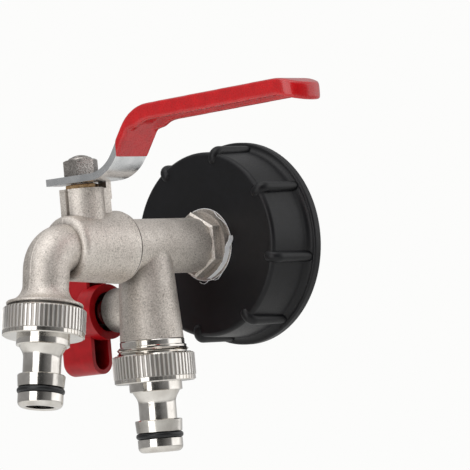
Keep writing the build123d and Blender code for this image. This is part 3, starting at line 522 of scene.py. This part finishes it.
def makeThread(name, outlet, thread, material):
    # Pointed turns: a square section on its corner, wound up a spiral
    tree, sizes = newTree("threadTree", {
        "Turns": "Float", "Root": "Float", "Rise": "Float", "Crest": "Float",
        "Place": "Vector", "Tilt": "Vector"})
    spiral = addNode(tree, "GeometryNodeCurveSpiral", {}, {
        "Resolution": thread["steps"], "Rotations": sizes["Turns"], "Start Radius": sizes["Root"],
        "End Radius": sizes["Root"], "Height": sizes["Rise"]})
    upright = addNode(tree, "GeometryNodeSetCurveNormal", {}, {"Curve": spiral.outputs[0]})
    section = addNode(tree, "GeometryNodeCurvePrimitiveCircle", {}, {
        "Resolution": 4, "Radius": sizes["Crest"]})
    wound = addNode(tree, "GeometryNodeCurveToMesh", {}, {
        "Curve": upright.outputs[0], "Profile Curve": section.outputs[0], "Fill Caps": True})
    endTree(tree, sizes, wound.outputs[0], material)
    below = Matrix.Rotation(radians(outlet["tilt"]), 3, "X") @ Vector((0, 0, thread["start"]))
    piece = growMesh(name, bpy.data.meshes.new(name + "Seed"), tree, {
        "Turns": thread["turns"], "Root": thread["root"] * mm, "Rise": thread["rise"] * mm,
        "Crest": thread["crest"] * mm, "Place": (Vector(outlet["place"]) + below) * mm,
        "Tilt": (radians(outlet["tilt"]), 0, 0)})
    for face in piece.data.polygons:
        face.use_smooth = False
    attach(piece, "tap_body")


for ending, row in knurl["rows"].items():
    makeKnurl("knurlRear" + ending, outlets["rear"], row, uprightNickel)
    makeKnurl("knurlFront" + ending, outlets["front"], row, tiltedNickel)
makeThread("threadTurnsRear", outlets["rear"], threads["rear"], uprightNickel)
makeThread("threadTurnsFront", outlets["front"], threads["front"], tiltedNickel)
print("knurls and thread turns made")


# Sealing tape that stands out of the joint at the cap, in millimetres. Each place on the strip and on its
# pulled threads is a radius and an angle (from up, towards +X) about the middle line of the tap.
tape = {"thick": 0.12, "strand": 0.34, "front": -24.9, "back": -22.4, "strandsAt": -22.9,
        "sway": 0.25, "swayStep": 1.7, "torn": 0.72,      # sideways wander, and width left at the torn end
        "wound": [(14.5, 82), (14.0, 88), (13.2, 93), (12.5, 99), (12.35, 108), (12.3, 125), (12.3, 142),
                  (12.3, 158), (12.35, 166), (12.6, 171)],
        "strands": [[(13.05, 30.2), (12.35, 38.1), (12.48, 46), (12.75, 51), (13.14, 58.8), (13.44, 64.3)],
                    [(12.59, 171.6), (13.12, 168.9), (13.87, 162.2), (14.09, 157), (13.83, 151.6),
                     (13.36, 141.8)],
                    [(13.68, -165.3), (14.09, -169.6), (14.21, -174.6), (13.73, -179.8), (12.96, -184.6)],
                    [(12.06, -154.5), (11.88, -164), (10.97, -171), (11.86, -176), (11.63, -183.4)]]}


def roundTap(radius, angle, y):
    # The place at this radius, angle in degrees and distance along the tap
    return Vector((radius * sin(radians(angle)), y, radius * cos(radians(angle))))


def makeTape():
    # A strip wound on the collar, its free end standing off, and a few pulled threads of it
    shape = bmesh.new()
    middle, width = (tape["front"] + tape["back"]) / 2, tape["back"] - tape["front"]
    wound = []
    for k, (radius, angle) in enumerate(tape["wound"]):
        sway = tape["sway"] * sin(k * tape["swayStep"])
        wound.append((roundTap(radius, angle, middle + sway), width * (1.0 if k else tape["torn"])))
    strips = [wound]
    for strand in tape["strands"]:
        strips.append([(roundTap(r, a, tape["strandsAt"]), tape["strand"]) for r, a in strand])
    for strip in strips:
        rows = []
        for k, (point, wide) in enumerate(strip):
            along = strip[min(k + 1, len(strip) - 1)][0] - strip[max(k - 1, 0)][0]
            side = Vector((0, 1, 0))
            out = along.cross(side).normalized() * tape["thick"] / 2
            side = side * wide / 2
            rows.append([shape.verts.new((point + a * side + b * out) * mm)
                         for a, b in ((-1, -1), (1, -1), (1, 1), (-1, 1))])
        for low, high in zip(rows, rows[1:]):
            for k in range(4):
                shape.faces.new((low[k], low[(k + 1) % 4], high[(k + 1) % 4], high[k]))
        shape.faces.new(rows[0])
        shape.faces.new(rows[-1])
    mesh = plainMesh("tapeEnds", shape)
    mesh.materials.append(tapeFilm)
    piece = bpy.data.objects.new("tapeEnds", mesh)
    bpy.context.collection.objects.link(piece)
    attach(piece, "tap_body")


makeTape()
print("tape made")


# The dipped grip: size of its small faces and reach of the weld in millimetres, how often and how strongly
# the faces are smoothed
grip = {"face": 0.36, "weld": 0.002, "passes": 60, "strength": 0.5}


def makeGrip():
    # The grip as dipping leaves it: one skin, soft at every edge
    mesh = nodes["lever_grip"].data.copy()
    shape = bmesh.new()
    shape.from_mesh(mesh)
    bmesh.ops.remove_doubles(shape, verts=shape.verts, dist=grip["weld"] * mm)
    shape.to_mesh(mesh)
    shape.free()
    piece = bpy.data.objects.new("dippedGrip", mesh)
    bpy.context.collection.objects.link(piece)
    skin = piece.modifiers.new("skin", "REMESH")
    skin.mode = "VOXEL"
    skin.voxel_size = grip["face"] * mm
    soft = piece.modifiers.new("soft", "SMOOTH")
    soft.factor = grip["strength"]
    soft.iterations = grip["passes"]
    ready = piece.evaluated_get(bpy.context.evaluated_depsgraph_get())
    plain = bpy.data.meshes.new_from_object(ready)
    piece.modifiers.clear()
    piece.data = plain
    plain.name = "dippedGrip"
    plain.materials.clear()
    plain.materials.append(vinyl)
    for face in plain.polygons:
        face.use_smooth = True
    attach(piece, "main_lever")
    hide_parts("lever_grip")


makeGrip()
print("grip made")


# Floor and background, in metres
studio = {"floorDrop": 0.16, "floorSize": 5.0, "floorColour": "#F6F6F4", "floorFar": "#DCDCDA",
          "floorRough": 0.9, "fadeFrom": 0.4, "fadeTo": 2.0, "background": "#FCFCFB"}


def makeFloor():
    half = studio["floorSize"] / 2
    height = cadBox[0][2] - studio["floorDrop"]
    mesh = bpy.data.meshes.new("studioFloor")
    mesh.from_pydata([(-half, -half, height), (half, -half, height), (half, half, height),
                      (-half, half, height)], [], [(0, 1, 2, 3)])
    floor = bpy.data.objects.new("studioFloor", mesh)
    bpy.context.collection.objects.link(floor)
    material, tree, shader, coords = newMaterial("mattPaleFloor")
    reach = addNode(tree, "ShaderNodeVectorMath", {"operation": "LENGTH"}, {0: coords})
    fade = addNode(tree, "ShaderNodeMapRange", {"interpolation_type": "SMOOTHSTEP"}, {
        "Value": reach.outputs["Value"], "From Min": studio["fadeFrom"], "From Max": studio["fadeTo"],
        "To Min": 0.0, "To Max": 1.0})
    tone = addNode(tree, "ShaderNodeMix", {"data_type": "RGBA"}, {
        "Factor": fade.outputs[0], 6: srgb(studio["floorColour"]), 7: srgb(studio["floorFar"])})
    setSockets(tree, shader, {"Base Color": tone.outputs[2], "Roughness": studio["floorRough"]})
    mesh.materials.append(material)


# Grey of the tent round the tap by compass angle (from -Y towards +X), and of its roof, which takes over
# between two heights of the direction looked in
tent = {"wall": [(-180, 0.62), (-140, 0.42), (-75, 0.31), (-20, 0.31), (26, 0.14), (36, 0.05), (52, 0.06),
                 (78, 0.18), (100, 0.26), (108, 1.25), (150, 1.35), (180, 0.66)],
        "roof": 0.62, "roofFrom": 0.45, "roofFull": 0.8}


def makeWorld():
    # Round tent: dark towards the camera, pale behind, so that metal has contrast
    world = bpy.data.worlds.new("studioTent")
    bpy.context.scene.world = world
    world.use_nodes = True
    tree = world.node_tree
    tree.nodes.clear()
    direction = addNode(tree, "ShaderNodeTexCoord").outputs["Generated"]
    parts = addNode(tree, "ShaderNodeSeparateXYZ", {}, {"Vector": direction})
    towards = addNode(tree, "ShaderNodeMath", {"operation": "MULTIPLY"}, {0: parts.outputs["Y"], 1: -1.0})
    compass = addNode(tree, "ShaderNodeMath", {"operation": "ARCTAN2"}, {
        0: parts.outputs["X"], 1: towards.outputs[0]})
    turn = addNode(tree, "ShaderNodeMapRange", {}, {
        "Value": compass.outputs[0], "From Min": -pi, "From Max": pi, "To Min": 0.0, "To Max": 1.0})
    wall = addNode(tree, "ShaderNodeValToRGB", {}, {"Fac": turn.outputs[0]})
    setRamp(wall, [((angle + 180) / 360, (grey, grey, grey, 1.0)) for angle, grey in tent["wall"]])
    lift = addNode(tree, "ShaderNodeMapRange", {"interpolation_type": "SMOOTHSTEP"}, {
        "Value": parts.outputs["Z"], "From Min": tent["roofFrom"], "From Max": tent["roofFull"],
        "To Min": 0.0, "To Max": 1.0})
    whole = addNode(tree, "ShaderNodeMix", {"data_type": "RGBA"}, {
        "Factor": lift.outputs[0], 6: wall.outputs["Color"],
        7: (tent["roof"], tent["roof"], tent["roof"], 1.0)})
    lit = addNode(tree, "ShaderNodeBackground", {}, {"Color": whole.outputs[2], "Strength": 1.0})
    shown = addNode(tree, "ShaderNodeBackground", {}, {
        "Color": srgb(studio["background"]), "Strength": 1.0})
    path = addNode(tree, "ShaderNodeLightPath")
    mix = addNode(tree, "ShaderNodeMixShader", {}, {
        0: path.outputs["Is Camera Ray"], 1: lit.outputs[0], 2: shown.outputs[0]})
    addNode(tree, "ShaderNodeOutputWorld", {}, {"Surface": mix.outputs[0]})


# Soft boxes: compass angle and height angle in degrees, distance and size in metres, brightness on the
# scale of the tent's greys
softBoxes = {"front": {"angle": 7, "height": 12, "distance": 1.3, "size": (0.85, 1.5), "bright": 1.9},
             "roof": {"angle": 20, "height": 72, "distance": 1.4, "size": (1.2, 1.2), "bright": 1.3}}
litPlace = (0, -0.055, -0.01)      # what both face, in metres


def makeLights():
    for name, box in softBoxes.items():
        angle, height = radians(box["angle"]), radians(box["height"])
        away = Vector((sin(angle) * cos(height), -cos(angle) * cos(height), sin(height)))
        light = bpy.data.lights.new(name, "AREA")
        light.shape = "RECTANGLE"
        light.size, light.size_y = box["size"]
        light.energy = box["bright"] * pi * light.size * light.size_y      # watts for that brightness
        lamp = bpy.data.objects.new(name, light)
        bpy.context.collection.objects.link(lamp)
        lamp.location = Vector(litPlace) + away * box["distance"]
        lamp.rotation_euler = away.to_track_quat("Z", "Y").to_euler()


# View of the photograph: a long lens slightly below the tap, turned a little. The lens is its focal length
# over the picture's width; angles are in degrees, distances in metres.
view = {"lens": 11.2725, "sensor": 36, "clip": 20, "distance": 1.903352, "azimuth": 42.4582,
        "elevation": -3.05, "roll": 4.8452, "aim": (0, -0.045, -0.010), "right": 0.025428, "up": 0.013894}


def makeCamera():
    camera = bpy.data.cameras.new("photoView")
    camera.sensor_width = view["sensor"]
    camera.lens = view["lens"] * camera.sensor_width
    camera.clip_end = view["clip"]
    azimuth, elevation, roll = (radians(view[k]) for k in ("azimuth", "elevation", "roll"))
    back = Vector((sin(azimuth) * cos(elevation), -cos(azimuth) * cos(elevation), sin(elevation)))
    across = Vector((cos(azimuth), sin(azimuth), 0))
    up = back.cross(across)
    rolledAcross = across * cos(roll) - up * sin(roll)
    rolledUp = across * sin(roll) + up * cos(roll)
    place = (Vector(view["aim"]) + back * view["distance"] + rolledAcross * view["right"]
             + rolledUp * view["up"])
    holder = bpy.data.objects.new("photoView", camera)
    bpy.context.collection.objects.link(holder)
    turn = Matrix((rolledAcross, rolledUp, back)).transposed().to_4x4()
    holder.matrix_world = Matrix.Translation(place) @ turn
    bpy.context.scene.camera = holder
    bpy.context.scene.view_settings.view_transform = "Standard"


makeFloor()
makeWorld()
makeLights()
makeCamera()
print("studio and camera set")

bpy.context.view_layer.update()
